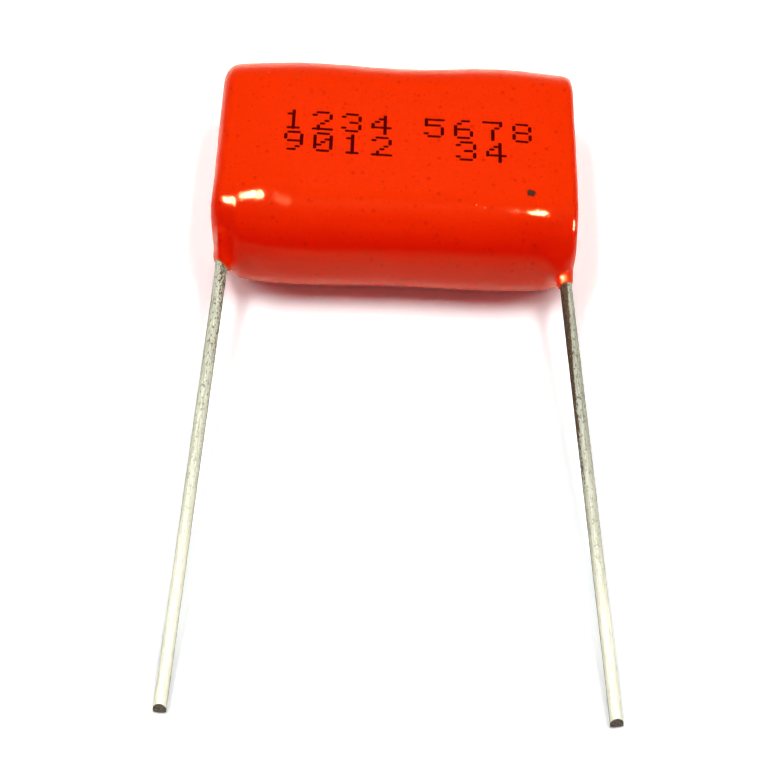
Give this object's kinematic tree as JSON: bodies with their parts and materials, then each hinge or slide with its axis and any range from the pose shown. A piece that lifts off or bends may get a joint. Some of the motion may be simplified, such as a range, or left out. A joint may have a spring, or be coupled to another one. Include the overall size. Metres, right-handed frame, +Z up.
{
  "type": "polyester film capacitor",
  "caption": "Dipped film capacitor: flat rounded coated body with a wound film roll inside and straight round wire leads from one long side.",
  "frame": {"origin": "under the middle of the body, on the flat back that it rests on", "axes": "+Z up through the body's thickness, the leads point to -Y, +X along the lead pitch"},
  "size_m": [0.0272, 0.0456, 0.0084],
  "materials": {
    "epoxy": "glossy dipped",
    "metallised_film": "metallised",
    "plain_film": "clear film",
    "sprayed_metal": "rough sprayed",
    "tinned_wire": "tinned, drawn"
  },
  "bodies": {
    "root": {"epoxy_coat": "epoxy", "film_winding": "metallised_film", "outer_wrap": "plain_film", "end_spray_left": "sprayed_metal", "end_spray_right": "sprayed_metal", "lead_wire_left": "tinned_wire", "lead_wire_right": "tinned_wire"}
  },
  "joints": []
}
